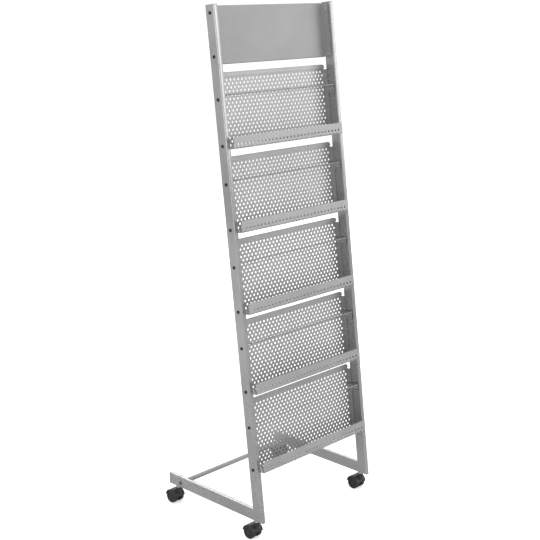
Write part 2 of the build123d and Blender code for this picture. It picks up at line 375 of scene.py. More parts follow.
    def hand_over(self, body: str, slot: str, material: bpy.types.Material, *nodes: str) -> None:
        """Dress the finished piece and tie it to its body.

        Args:
            body: The body that it rides on.
            slot: The record's material slot; not used.
            material: Its finish.
            *nodes: The CAD nodes that it stands for.
        """
        self.down()
        self.obj.data.materials.clear()
        self.obj.data.materials.append(material)
        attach(self.obj, body)
        if nodes:
            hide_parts(*nodes)
        log.info("%s: %d faces, rides on %s", self.obj.name, len(self.obj.data.polygons), body)


class Wiring:
    """A node tree with short calls that add nodes and join them."""

    def __init__(self, tree: bpy.types.NodeTree) -> None:
        """Keep the tree."""
        self.tree = tree

    def add(self, kind: str, inputs: dict[str | int, object] | None = None,
            **settings: object) -> bpy.types.Node:
        """Add a node.

        Args:
            kind: The node's type.
            inputs: Values or sockets for its inputs, by name or number.
            **settings: The node's own properties.

        Returns:
            The new node.
        """
        node = self.tree.nodes.new(kind)
        for key, value in settings.items():
            setattr(node, key, value)
        for key, value in (inputs or {}).items():
            if isinstance(value, bpy.types.NodeSocket):
                self.tree.links.new(value, node.inputs[key])
            else:
                node.inputs[key].default_value = value
        return node

    def maths(self, operation: str, first: object, second: object = 0.5, clamp: bool = False) -> bpy.types.NodeSocket:
        """Return the result of a Math node."""
        return self.add("ShaderNodeMath", {0: first, 1: second}, operation=operation, use_clamp=clamp).outputs[0]

    def between(self, value: object, low: float, high: float, out_low: float, out_high: float) -> bpy.types.NodeSocket:
        """Return a value moved smoothly from one range to another."""
        return self.add("ShaderNodeMapRange", {"Value": value, "From Min": low, "From Max": high, "To Min": out_low,
                                               "To Max": out_high}, interpolation_type="SMOOTHSTEP").outputs[0]

    def blend(self, factor: object, first: object, second: object, kind: str = "MIX") -> bpy.types.NodeSocket:
        """Return two colours mixed."""
        node = self.add("ShaderNodeMix", data_type="RGBA", blend_type=kind)
        for socket, value in ((node.inputs[0], factor), (node.inputs[6], first), (node.inputs[7], second)):
            if isinstance(value, bpy.types.NodeSocket):
                self.tree.links.new(value, socket)
            else:
                socket.default_value = value
        return node.outputs[2]


class Effect(Enum):
    """Surface effects that several finishes share, each built once as a node group."""

    GRAIN = "coating grain"
    DUST = "settled dust"
    WEAR = "edge wear"
    SCUFFS = "fine scuffs"

    def group(self) -> bpy.types.NodeTree:
        """Return the effect's node group, and build it the first time."""
        found = bpy.data.node_groups.get(self.value)
        if found:
            return found
        tree = bpy.data.node_groups.new(self.value, "ShaderNodeTree")
        build = {Effect.GRAIN: self._grain, Effect.DUST: self._dust,
                 Effect.WEAR: self._wear, Effect.SCUFFS: self._scuffs}[self]
        build(tree)
        return tree

    @staticmethod
    def _sockets(tree: bpy.types.NodeTree, inputs: dict[str, float],
                 outputs: tuple[str, ...]) -> tuple[Wiring, bpy.types.Node, bpy.types.Node]:
        """Give a group its sockets.

        Args:
            tree: The group.
            inputs: Names and starting values of its inputs.
            outputs: Names of its outputs.

        Returns:
            The wiring, the group's input node and its output node.
        """
        for name, value in inputs.items():
            socket = tree.interface.new_socket(name=name, in_out="INPUT", socket_type="NodeSocketFloat")
            socket.default_value = value
        for name in outputs:
            tree.interface.new_socket(name=name, in_out="OUTPUT", socket_type="NodeSocketFloat")
        wiring = Wiring(tree)
        return wiring, wiring.add("NodeGroupInput"), wiring.add("NodeGroupOutput")

    @staticmethod
    def _grain(tree: bpy.types.NodeTree) -> None:
        """Build the fine texture of a coating: grains, flakes and slow mottling."""
        w, given, result = Effect._sockets(tree, {"Scale": 900.0, "Flakes": 0.3, "Mottle": 8.0},
                                           ("Tone", "Height", "Gloss"))
        place = w.add("ShaderNodeTexCoord").outputs["Object"]
        scale = given.outputs["Scale"]
        fine = w.add("ShaderNodeTexNoise", {"Vector": place, "Scale": scale, "Detail": 3.0,
                                            "Roughness": 0.6}).outputs[0]
        coarse = w.add("ShaderNodeTexNoise", {"Vector": place, "Scale": w.maths("MULTIPLY", scale, 0.22),
                                              "Detail": 2.0, "Roughness": 0.5}).outputs[0]
        flakes = w.add("ShaderNodeTexVoronoi", {"Vector": place, "Scale": w.maths("MULTIPLY", scale, 1.6)})
        flake = w.add("ShaderNodeSeparateColor", {0: flakes.outputs["Color"]}).outputs[0]
        mottle = w.add("ShaderNodeTexNoise", {"Vector": place, "Scale": given.outputs["Mottle"], "Detail": 4.0,
                                              "Roughness": 0.55}).outputs[0]
        height = w.maths("ADD", w.maths("MULTIPLY", fine, 0.6), w.maths("MULTIPLY", coarse, 0.4))
        sparkle = w.maths("MULTIPLY", w.maths("SUBTRACT", flake, 0.5), given.outputs["Flakes"])
        slow = w.maths("MULTIPLY", w.maths("SUBTRACT", mottle, 0.5), 0.5)
        grain = w.maths("MULTIPLY", w.maths("SUBTRACT", height, 0.5), 0.25)
        tone = w.maths("ADD", w.maths("ADD", 1.0, slow), w.maths("ADD", sparkle, grain))
        for name, value in (("Tone", tone), ("Height", height), ("Gloss", w.maths("ADD", slow, grain))):
            tree.links.new(value, result.inputs[name])

    @staticmethod
    def _dust(tree: bpy.types.NodeTree) -> None:
        """Build dust that lies on what faces up, in soft patches."""
        w, given, result = Effect._sockets(tree, {"Amount": 0.5, "Patches": 30.0}, ("Mask",))
        place = w.add("ShaderNodeTexCoord").outputs["Object"]
        up = w.add("ShaderNodeSeparateXYZ", {0: w.add("ShaderNodeNewGeometry").outputs["Normal"]}).outputs[2]
        lying = w.between(up, 0.55, 1.0, 0.0, 1.0)
        patches = w.add("ShaderNodeTexNoise", {"Vector": place, "Scale": given.outputs["Patches"], "Detail": 5.0,
                                               "Roughness": 0.65}).outputs[0]
        speckle = w.add("ShaderNodeTexNoise", {"Vector": place, "Scale": 1400.0, "Detail": 1.0}).outputs[0]
        mask = w.maths("MULTIPLY", w.maths("MULTIPLY", lying, w.between(patches, 0.3, 0.7, 0.3, 1.0)),
                       w.between(speckle, 0.35, 0.65, 0.5, 1.0))
        tree.links.new(w.maths("MULTIPLY", mask, given.outputs["Amount"], clamp=True), result.inputs["Mask"])

    @staticmethod
    def _wear(tree: bpy.types.NodeTree) -> None:
        """Build wear on convex edges, broken up by noise."""
        w, given, result = Effect._sockets(tree, {"Amount": 0.5, "Break Up": 120.0}, ("Mask",))
        place = w.add("ShaderNodeTexCoord").outputs["Object"]
        convex = w.between(w.add("ShaderNodeNewGeometry").outputs["Pointiness"], 0.55, 0.66, 0.0, 1.0)
        noise = w.add("ShaderNodeTexNoise", {"Vector": place, "Scale": given.outputs["Break Up"], "Detail": 5.0,
                                             "Roughness": 0.7}).outputs[0]
        mask = w.maths("MULTIPLY", convex, w.between(noise, 0.35, 0.65, 0.1, 1.0))
        tree.links.new(w.maths("MULTIPLY", mask, given.outputs["Amount"], clamp=True), result.inputs["Mask"])

    @staticmethod
    def _scuffs(tree: bpy.types.NodeTree) -> None:
        """Build thin rubs that run along the frame's height and a few short marks across it."""
        w, given, result = Effect._sockets(tree, {"Amount": 0.3, "Density": 1.0}, ("Mask",))
        place = w.add("ShaderNodeTexCoord").outputs["Object"]
        masks = []
        for turn, squeeze in (((0.1, 0.25, 0.4), (60.0, 420.0, 14.0)), ((1.3, 0.2, 0.9), (380.0, 50.0, 22.0))):
            mapped = w.add("ShaderNodeMapping", {"Vector": place, "Rotation": turn, "Scale": squeeze}).outputs[0]
            lines = w.add("ShaderNodeTexNoise", {"Vector": mapped, "Scale": given.outputs["Density"], "Detail": 2.0,
                                                 "Roughness": 0.4}).outputs[0]
            masks.append(w.between(w.maths("ABSOLUTE", w.maths("SUBTRACT", lines, 0.5)), 0.0, 0.012, 1.0, 0.0))
        where = w.add("ShaderNodeTexNoise", {"Vector": place, "Scale": 18.0, "Detail": 3.0}).outputs[0]
        mask = w.maths("MULTIPLY", w.maths("MAXIMUM", masks[0], masks[1]), w.between(where, 0.5, 0.68, 0.0, 1.0))
        tree.links.new(w.maths("MULTIPLY", mask, given.outputs["Amount"], clamp=True), result.inputs["Mask"])


@dataclass(frozen=True)
class Finish:
    """A surface finish: a base shader varied by grain, dust, edge wear and scuffs."""

    name: str
    grey: float
    roughness: float
    metallic: float = 0.0
    coat: float = 0.0
    coat_roughness: float = 0.1
    grain: float = 900.0
    flakes: float = 0.1
    mottle: float = 8.0
    bump: float = 0.1
    bump_depth: float = 0.00002
    dust: float = 0.15
    wear: float = 0.2
    wear_grey: float = 0.75
    scuffs: float = 0.15

    def make(self) -> bpy.types.Material:
        """Return the finish as a material with its nodes."""
        material = bpy.data.materials.new(self.name)
        material.use_nodes = True
        material.node_tree.nodes.clear()
        w = Wiring(material.node_tree)
        shader = w.add("ShaderNodeBsdfPrincipled", {
            "IOR": 1.5, "Coat Weight": self.coat, "Coat Roughness": self.coat_roughness})
        output = w.add("ShaderNodeOutputMaterial", {"Surface": shader.outputs[0]})
        output.is_active_output = True
        self._wire(w, shader)
        return material

    def _effect(self, w: Wiring, effect: Effect, **values: float) -> bpy.types.Node:
        """Place a shared effect in the material with this finish's values."""
        node = w.add("ShaderNodeGroup", node_tree=effect.group())
        for name, value in values.items():
            node.inputs[name.replace("_", " ")].default_value = value
        return node

    def _wire(self, w: Wiring, shader: bpy.types.Node) -> None:
        """Wire colour, roughness, metal and bump into the shader.

        Args:
            w: The material's wiring.
            shader: Its Principled shader.
        """
        grain = self._effect(w, Effect.GRAIN, Scale=self.grain, Flakes=self.flakes, Mottle=self.mottle)
        dust = self._effect(w, Effect.DUST, Amount=self.dust).outputs["Mask"]
        wear = self._effect(w, Effect.WEAR, Amount=self.wear).outputs["Mask"]
        scuffs = self._effect(w, Effect.SCUFFS, Amount=self.scuffs).outputs["Mask"]
        tone = w.add("ShaderNodeCombineColor", {0: grain.outputs["Tone"], 1: grain.outputs["Tone"],
                                                2: grain.outputs["Tone"]}).outputs[0]
        base = w.blend(1.0, (*[self.grey] * 3, 1.0), tone, "MULTIPLY")
        worn = w.blend(w.maths("MAXIMUM", wear, scuffs), base, (*[self.wear_grey] * 3, 1.0))
        dusty = w.blend(dust, worn, (0.5, 0.5, 0.49, 1.0))
        rough = w.maths("ADD", w.maths("MULTIPLY", grain.outputs["Gloss"], 0.35), self.roughness)
        rough = w.maths("ADD", rough, w.maths("MULTIPLY", w.maths("MAXIMUM", dust, scuffs), 0.35), clamp=True)
        metal = w.maths("MULTIPLY", w.maths("SUBTRACT", 1.0, dust), self.metallic)
        bump = w.add("ShaderNodeBump", {"Strength": self.bump, "Distance": self.bump_depth,
                                        "Height": grain.outputs["Height"]})
        for name, value in (("Base Color", dusty), ("Roughness", rough), ("Metallic", metal),
                            ("Normal", bump.outputs[0])):
            w.tree.links.new(value, shader.inputs[name])


@dataclass(frozen=True)
class Finishes:
    """Every finish of the rack, made once."""

    tube: bpy.types.Material
    header: bpy.types.Material
    sheet: bpy.types.Material
    wire: bpy.types.Material
    cap: bpy.types.Material
    screw: bpy.types.Material
    zinc: bpy.types.Material
    bolt: bpy.types.Material
    nylon: bpy.types.Material
    tread: bpy.types.Material

    @classmethod
    def mix(cls) -> "Finishes":
        """Return all the finishes as materials."""
        return cls(
            tube=Finish("tube_silver_paint", 0.40, 0.28, metallic=0.7, coat=0.25, coat_roughness=0.12,
                        grain=1100.0, flakes=0.04, mottle=5.0, bump=0.04, dust=0.06, wear=0.25, scuffs=0.02).make(),
            header=Finish("header_silver_paint", 0.36, 0.56, metallic=0.3, coat=0.03, coat_roughness=0.4,
                          grain=1300.0, flakes=0.12, mottle=6.0, bump=0.2, dust=0.08, wear=0.12, scuffs=0.05).make(),
            sheet=Finish("sheet_silver_paint", 0.42, 0.48, metallic=0.42, coat=0.03, coat_roughness=0.35,
                         grain=1300.0, flakes=0.10, mottle=6.0, bump=0.2, dust=0.08, wear=0.12, scuffs=0.05).make(),
            # Painted shade: the wire's grey is its silver paint set darker, standing in for the shading and shadow
            # along the wire.
            wire=Finish("wire_silver_paint", 0.30, 0.4, metallic=0.6, coat=0.1, grain=1500.0,
                        flakes=0.06, bump=0.08, dust=0.05, wear=0.1, scuffs=0.2).make(),
            cap=Finish("cap_grey_plastic", 0.36, 0.5, grain=1600.0, flakes=0.02, bump=0.25,
                       dust=0.2, wear=0.15, wear_grey=0.5, scuffs=0.1).make(),
            screw=Finish("screw_black_oxide", 0.018, 0.42, metallic=0.4, grain=2400.0, flakes=0.05,
                         bump=0.2, dust=0.08, wear=0.35, wear_grey=0.16, scuffs=0.2).make(),
            zinc=Finish("zinc_plate", 0.58, 0.34, metallic=1.0, grain=1800.0, flakes=0.2, mottle=60.0,
                        bump=0.15, dust=0.1, wear=0.1, scuffs=0.3).make(),
            bolt=Finish("bolt_dark_zinc", 0.16, 0.4, metallic=0.9, grain=1800.0, flakes=0.15,
                        mottle=60.0, bump=0.15, dust=0.1, wear=0.3, wear_grey=0.45, scuffs=0.2).make(),
            nylon=Finish("caster_black_nylon", 0.022, 0.42, grain=1500.0, flakes=0.04, bump=0.3,
                         bump_depth=0.00004, dust=0.12, wear=0.3, wear_grey=0.09, scuffs=0.4).make(),
            tread=Finish("caster_black_tread", 0.016, 0.55, grain=1100.0, flakes=0.03, bump=0.35,
                         bump_depth=0.00005, dust=0.25, wear=0.35, wear_grey=0.10, scuffs=0.5).make())

    def dress_node(self, node: str, material: bpy.types.Material) -> None:
        """Give a carried-over CAD node its finish."""
        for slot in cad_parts[node].material_slots:
            slot.material = material
        log.info("%s keeps its CAD shape in %s", node, material.name)


@dataclass(frozen=True)
class Stand:
    """Where the leaning plane of the posts stands, read from the CAD rail."""

    front: float
    base: float
    rear: float
    half_width: float
    angle: float = math.radians(7.0)

    @classmethod
    def read(cls) -> "Stand":
        """Return the stand that the CAD rails give."""
        low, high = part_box("left_base_rail")
        return cls(front=low.y, base=low.z, rear=high.y, half_width=-low.x)

    def matrix(self) -> Matrix:
        """Return the move from the frame's own axes to the rack's."""
        return Matrix.Translation((0.0, self.front, self.base)) @ Matrix.Rotation(-self.angle, 4, "X")

    def copies_down(self, first: Workpiece, name: str, drop: float, count: int) -> list[Workpiece]:
        """Return a piece and its numbered copies, each one drop further down the posts."""
        step = self.matrix() @ Matrix.Translation((0, 0, -drop)) @ self.matrix().inverted()
        pieces = [first]
        for number in range(2, count + 1):
            pieces.append(pieces[-1].copy(f"{name}_{number}", step))
        return pieces


@dataclass
class SideFrame:
    """A post and its floor rail, mitred from one tube, with a cap on each open end."""

    side: Side
    stand: Stand
    width: float = 14 * MM
    depth: float = 34 * MM
    length: float = 1456 * MM
    corner: float = 2.5 * MM
    cap: float = 1.6 * MM

    def build(self, finishes: Finishes) -> None:
        """Model the tube and its two caps, and dress them."""
        word = self.side.word
        self._tube(f"{word}_side_tube").hand_over("rack_frame", "frame_tube", finishes.tube,
                                                  f"{word}_post", f"{word}_base_rail")
        x = self.side.value * (self.stand.half_width - self.width / 2)
        up = self.stand.matrix() @ Matrix.Translation((x, self.depth / 2, self.length))
        self._cap(f"{word}_post_end_cap").place(up).hand_over("rack_frame", "cap_plastic", finishes.cap,
                                                              f"{word}_post_cap")
        back = Matrix.Translation((x, self.stand.rear, self.stand.base + self.depth / 2)) @ Matrix.Rotation(
            -RIGHT_ANGLE, 4, "X")
        self._cap(f"{word}_rail_end_cap").place(back).hand_over("rack_frame", "cap_plastic", finishes.cap,
                                                                f"{word}_rail_cap")

    def _tube(self, name: str) -> Workpiece:
        """Return the post drawn out into the rail across the mitre.

        Args:
            name: The piece's name.

        Returns:
            The tube, placed.
        """
        x = self.side.value * (self.stand.half_width - self.width / 2)
        tube = Workpiece.box(name, (self.width, self.depth, self.length + self.depth),
                             (x, self.depth / 2, (self.length - self.depth) / 2))
        tube.pick(Pick.EDGES, lambda c, n: abs(n.z) > 0.9).bevel(self.corner, 4)
        tube.place(self.stand.matrix())
        mitre = (RIGHT_ANGLE - self.stand.angle) / 2
        down = Vector((0, math.sin(mitre), -math.cos(mitre)))
        tip = (0, self.stand.front, self.stand.base)
        tube.pick_all().cut(tip, tuple(down), clear=True, fill=True)
        tube.pick(Pick.FACES, lambda c, n: n.dot(down) > 0.999).extrude(0, self.stand.rear - self.stand.front, 0)
        tube.pick_all().cut((0, self.stand.rear, 0), (0, 1, 0), clear=True, fill=True)
        tube.outward()
        for flat in (lambda c, n: abs(n.x) > 0.999, lambda c, n: abs(n.x) < 0.001):
            tube.pick(Pick.FACES, flat).inset(0.5 * MM)
        return tube.smooth(35)

    def _cap(self, name: str) -> Workpiece:
        """Return a plug's plate with rounded edges, drawn at the origin and facing up."""
        plate = Workpiece.box(name, (self.width, self.depth, self.cap), (0, 0, self.cap / 2))
        plate.pick(Pick.EDGES, lambda c, n: abs(n.z) > 0.9).bevel(self.corner, 4)
        plate.pick(Pick.EDGES, lambda c, n: c.z > self.cap * 0.99).bevel(0.7 * MM, 3)
        return plate.smooth(40)


@dataclass
class Crossbar:
    """The small tube that ties the two rails together at the back."""

    depth: float = 12 * MM
    height: float = 10 * MM
    corner: float = 1.2 * MM

    def build(self, finishes: Finishes) -> None:
        """Model the bar where its CAD node lies, and dress it in the caps' matt grey."""
        low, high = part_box("rear_crossbar")
        middle = (low + high) / 2
        bar = Workpiece.box("crossbar_tube", (high.x - low.x, self.depth, self.height), tuple(middle))
        bar.pick(Pick.EDGES, lambda c, n: abs(n.x) > 0.9).bevel(self.corner, 3)
        bar.pick(Pick.FACES, lambda c, n: abs(n.x) > 0.9).inset(1.2 * MM)
        bar.smooth(40).hand_over("rack_frame", "frame_tube", finishes.cap, "rear_crossbar")


@dataclass
class HeaderPanel:
    """The plain panel between the tops of the posts, with folded edges."""

    stand: Stand
    half: float = 226 * MM
    top: float = 1456 * MM
    height: float = 157.5 * MM
    face: float = 32.8 * MM
    sheet: float = 1.2 * MM
    flange: float = 22.8 * MM
    lip: float = 11.2 * MM
    bend: float = 3 * MM

    def build(self, finishes: Finishes) -> None:
        """Fold the panel from a flat sheet, and dress it."""
        inner = self.half - self.sheet
        bottom = self.top - self.height
        relief = self.bend + 0.4 * MM
        panel = Workpiece.sheet("header_sheet", 2 * inner, self.height, (0, self.face, self.top - self.height / 2))
        panel.pick_all().cut((0, 0, self.top - relief), (0, 0, 1))
        panel.pick_all().cut((0, 0, bottom + relief), (0, 0, 1))
        panel.pick(Pick.EDGES, lambda c, n: abs(c.x) > inner - MM and abs(n.z) > 0.9
                   and bottom + relief < c.z < self.top - relief).extrude(0, -self.flange, 0)
        panel.pick(Pick.EDGES, lambda c, n: abs(n.x) > 0.9 and c.z > self.top - MM / 10).extrude(0, self.lip, 0)
        panel.pick(Pick.EDGES, lambda c, n: abs(n.x) > 0.9 and c.z < bottom + MM / 10
                   and c.y < self.face + MM).extrude(0, self.lip, 0)
        panel.pick(Pick.EDGES, lambda c, n: abs(n.x) > 0.9 and abs(c.y - self.face) < MM / 10
                   and (c.z > self.top - MM / 10 or c.z < bottom + MM / 10)).bevel(self.bend, 6)
        panel.pick(Pick.EDGES, lambda c, n: abs(n.z) > 0.9 and abs(c.y - self.face) < MM / 10
                   and abs(c.x) > inner - MM / 10 and bottom + relief < c.z < self.top - relief).bevel(2 * MM, 5)
        panel.weld().outward()
        face_down(panel, lambda c: abs(c.x) < 0.1 and abs(c.y - self.face) < MM / 10, Vector((0, -1, 0)))
        panel.finish_with("SOLIDIFY", thickness=self.sheet, offset=-1.0, use_even_offset=True)
        panel.place(self.stand.matrix()).smooth(30)
        panel.hand_over("rack_frame", "sheet_metal", finishes.header, "header_panel")


def face_down(piece: Workpiece, where: Callable[[Vector], bool], wanted: Vector) -> None:
    """Flip an open sheet if the faces at a place look the wrong way.

    Args:
        piece: The sheet.
        where: Tells whether a face's middle is at the place that is tested.
        wanted: The direction those faces should look.
    """
    piece.down()
    faces = [f for f in piece.obj.data.polygons if where(Vector(f.center))]
    if sum(Vector(f.normal).dot(wanted) for f in faces) < 0:
        piece.pick_all()
        bpy.ops.mesh.flip_normals()


@dataclass
class BrochureTray:
    """One perforated tray, folded from a flat blank, and the four copies below it."""

    stand: Stand
    count: int = 5
    drop: float = 230 * MM
    top: float = 1277.5 * MM
    height: float = 207.5 * MM
    half: float = 224 * MM
    rear: float = 43.2 * MM
    sheet: float = 1.2 * MM
    hole: float = 3.4 * MM
    pitch: float = 14.8 * MM
    row: float = 10.5 * MM
    first_row: float = 183 * MM
    margin: float = 218.3 * MM
    bend: float = 3 * MM
    floor: float = 50.4 * MM
    lip: float = 30 * MM
    hem_radius: float = 1.95 * MM
    hem: float = 10.05 * MM
    tab: float = 13 * MM
    tab_top: float = 189.5 * MM
    tab_bend: float = 2 * MM

    def build(self, finishes: Finishes) -> None:
        """Punch and fold the top tray, copy it down the posts, and dress all of them."""
        tray = self._blank("tray_sheet_1")
        self._tabs(tray)
        self._fold(tray)
        tray.weld().outward()
        face_down(tray, lambda c: abs(c.x) < 0.1 and abs(c.y - self.rear) < MM / 10, Vector((0, 1, 0)))
        tray.finish_with("SOLIDIFY", thickness=self.sheet, offset=-1.0, use_even_offset=True)
        bottom = self.top - self.height + self.bend
        tray.place(self.stand.matrix() @ Matrix.Translation((0, 0, bottom))).smooth(20)
        trays = self.stand.copies_down(tray, "tray_sheet", self.drop, self.count)
        for number, piece in enumerate(trays, start=1):
            piece.hand_over("rack_frame", "sheet_metal", finishes.sheet, f"brochure_tray_{number}")

    def _blank(self, name: str) -> Workpiece:
        """Return the flat blank: holes in staggered rows and a plain margin all round.

        Heights are measured from the lower end of the back panel's flat part.
        """
        outer = self.pitch / math.sqrt(3)
        cell = Workpiece.ring(name, outer, 6, (0, self.rear, 0))
        cell.pick_all().stretch(1, 1, self.row / (1.5 * outer), (0, self.rear, 0))
        hole = Workpiece.ring("hole", self.hole, 12, (0, self.rear, 0))
        cell.absorb([hole]).pick_all()
        bpy.ops.mesh.bridge_edge_loops()
        cell.pick_all().shift(-16 * self.pitch, 0, self.first_row + 2 * self.row - 30 * self.row)
        cell.absorb([cell.copy("second", Matrix.Translation((self.pitch / 2, 0, self.row)))])
        cell.finish_with("ARRAY", count=32, use_relative_offset=False, use_constant_offset=True,
                         constant_offset_displace=(self.pitch, 0, 0))
        cell.finish_with("ARRAY", count=16, use_relative_offset=False, use_constant_offset=True,
                         constant_offset_displace=(0, 0, 2 * self.row))
        cell.weld(1e-4)
        below = self.first_row - 24 * self.row - self.row / 2
        above = self.first_row + self.row / 2
        for point, normal in (((self.margin, 0, 0), (1, 0, 0)), ((-self.margin, 0, 0), (-1, 0, 0)),
                              ((0, 0, above), (0, 0, 1)), ((0, 0, below), (0, 0, -1))):
            cell.pick_all().cut(point, normal, clear=True)
        for sign in (-1, 1):
            cell.pick(Pick.EDGES, lambda c, n: abs(c.x - sign * self.margin) < 1e-5).extrude(
                sign * (self.half - self.margin), 0, 0)
        cell.pick(Pick.EDGES, lambda c, n: abs(c.z - above) < 1e-5).extrude(0, 0, self._hem_end() - above)
        cell.pick(Pick.EDGES, lambda c, n: abs(c.z - below) < 1e-5).extrude(0, 0, self._lip_end() - below)
        return cell

    def _panel_top(self) -> float:
        """Return the height where the hem's fold starts."""
        return self.height - self.bend - self.hem_radius

    def _hem_end(self) -> float:
        """Return the blank's upper end."""
        return self._panel_top() + math.pi * self.hem_radius + self.hem

    def _lip_end(self) -> float:
        """Return the blank's lower end."""
        return -(2 * self.bend * RIGHT_ANGLE + self.floor + self.lip)

    def _round(self, piece: Workpiece, x: float, z: float, radius: float, quarter: tuple[int, int],
               reach: float, steps: int = 6) -> None:
        """Round a corner of the sheet with planes that touch its arc.

        Args:
            piece: The tray.
            x: The arc's centre across.
            z: The arc's centre upwards.
            radius: The arc's radius.
            quarter: Signs of the quarter that the corner lies in.
            reach: How far past the arc's centre the faces belong to the corner.
            steps: How many planes.
        """
        for step in range(steps):
            angle = (step + 0.5) * RIGHT_ANGLE / steps
            normal = Vector((quarter[0] * math.cos(angle), 0, quarter[1] * math.sin(angle)))
            piece.pick(Pick.FACES, lambda c, n: (c.x - x) * quarter[0] > -reach and (c.z - z) * quarter[1] > -reach
                       and (c.x - x) * quarter[0] < radius + reach and (c.z - z) * quarter[1] < radius + reach)
            piece.cut(tuple(Vector((x, 0, z)) + normal * radius), tuple(normal), clear=True)

    def _tabs(self, tray: Workpiece) -> None:
        """Draw the side flanges and their screw lugs out of the blank's edges and fold them forward.

        Args:
            tray: The flat blank.
        """
        arc = self.tab_bend * RIGHT_ANGLE
        edge = self.half - self.tab_bend
        flat_tab = edge + arc + self.tab - self.tab_bend
        steps = 4
        corner = 5 * MM
        upper_low, upper_high, lower_high = 120 * MM, 144 * MM, 15.5 * MM
        lugs = ((upper_low, upper_high, 25.2 * MM, 12 * MM), (0.0, lower_high, 22.2 * MM, 7.7 * MM))
        for height in (0.0, self.tab_top, upper_low, upper_high, lower_high):
            tray.pick(Pick.FACES, lambda c, n: abs(c.x) > self.margin).cut((0, 0, height), (0, 0, 1))
        for sign in (-1, 1):
            tray.pick(Pick.FACES, lambda c, n: c.x * sign > self.margin).cut((sign * edge, 0, 0), (1, 0, 0))
            tray.pick(Pick.FACES, lambda c, n: c.x * sign > edge and 0 < c.z < self.tab_top)
            bpy.ops.mesh.split()
            tray.pick(Pick.EDGES, lambda c, n: abs(c.x - sign * self.half) < 1e-5 and abs(n.z) > 0.9
                      and 0 < c.z < self.tab_top).extrude(sign * (flat_tab - self.half), 0, 0)
            for low, high, reach, radius in lugs:
                tray.pick(Pick.EDGES, lambda c, n: abs(c.x - sign * flat_tab) < 1e-5 and abs(n.z) > 0.9
                          and low < c.z < high).extrude(sign * reach, 0, 0)
                end = flat_tab + reach - radius
                self._round(tray, sign * end, high - radius, radius, (sign, 1), MM)
                self._round(tray, sign * end, low + radius, radius, (sign, -1), MM)
            self._round(tray, sign * (flat_tab - corner), self.tab_top - corner, corner, (sign, 1), MM)
            for step in range(steps):
                x = sign * (edge + arc * (step + 0.5) / steps)
                tray.pick(Pick.FACES, lambda c, n: c.x * sign > edge and -1e-5 < c.z < self.tab_top + 1e-5)
                tray.cut((x, 0, 0), (1, 0, 0))
        tray.down()
        flat = [tuple(v.co) for v in tray.obj.data.vertices]
        for sign in (-1, 1):
            for step in reversed(range(steps)):
                x = sign * (edge + arc * (step + 0.5) / steps)
                tray.pick_numbers([i for i, p in enumerate(flat) if p[0] * sign > abs(x) + 1e-6
                                   and -1e-6 <= p[2] <= self.tab_top + 1e-6 and self._on_tab(p, edge)])
                tray.turn("Z", -sign * RIGHT_ANGLE / steps, (x, self.rear, 0))

    def _on_tab(self, point: tuple[float, float, float], edge: float) -> bool:
        """Tell whether a point of the flat blank belongs to a tab and not to the strip beside its ends."""
        inside = 1e-5 < point[2] < self.tab_top - 1e-5
        return inside or abs(point[0]) > self.half + 1e-5

    def _fold(self, tray: Workpiece) -> None:
        """Fold the lip, the floor and the hem, furthest creases first.

        Args:
            tray: The blank with its side flanges folded.
        """
        arc = self.bend * RIGHT_ANGLE
        hem_arc = math.pi * self.hem_radius
        steps = 8
        backwards = tuple(reversed(range(steps)))
        creases: list[tuple[float, float]] = []
        for start in (-(arc + self.floor), 0.0):
            creases += [(start - arc * (step + 0.5) / steps, RIGHT_ANGLE / steps) for step in backwards]
        creases += [(self._panel_top() + hem_arc * (step + 0.5) / steps, math.pi / steps) for step in backwards]
        for height, _ in creases:
            tray.pick(Pick.FACES, lambda c, n: abs(c.y - self.rear) < 1e-5 and abs(c.z - height) < 20 * MM)
            tray.cut((0, 0, height), (0, 0, 1))
        tray.down()
        flat = [(v.co.y, v.co.z) for v in tray.obj.data.vertices]
        for height, angle in creases:
            below = height < 0
            tray.pick_numbers([i for i, (y, z) in enumerate(flat) if abs(y - self.rear) < 1e-5
                               and (z < height - 1e-6 if below else z > height + 1e-6)])
            tray.turn("X", -angle if below else angle, (0, self.rear, height))
        corner = 10 * MM
        for sign in (-1, 1):
            self._round(tray, sign * (self.half - corner), self.height - self.bend - corner, corner,
                        (sign, 1), 4 * MM)
            self._round_lip(tray, sign)

    def _round_lip(self, tray: Workpiece, sign: int) -> None:
        """Round an upper corner of the lip."""
        radius, steps = 5 * MM, 5
        x, z = self.half - radius, self.lip - radius
        for step in range(steps):
            angle = (step + 0.5) * RIGHT_ANGLE / steps
            normal = Vector((sign * math.cos(angle), 0, math.sin(angle)))
            tray.pick(Pick.FACES, lambda c, n: c.y < -5 * MM and c.x * sign > x - 4 * MM and c.z > z - 8 * MM)
            tray.cut(tuple(Vector((sign * x, 0, z)) + normal * radius), tuple(normal), clear=True)


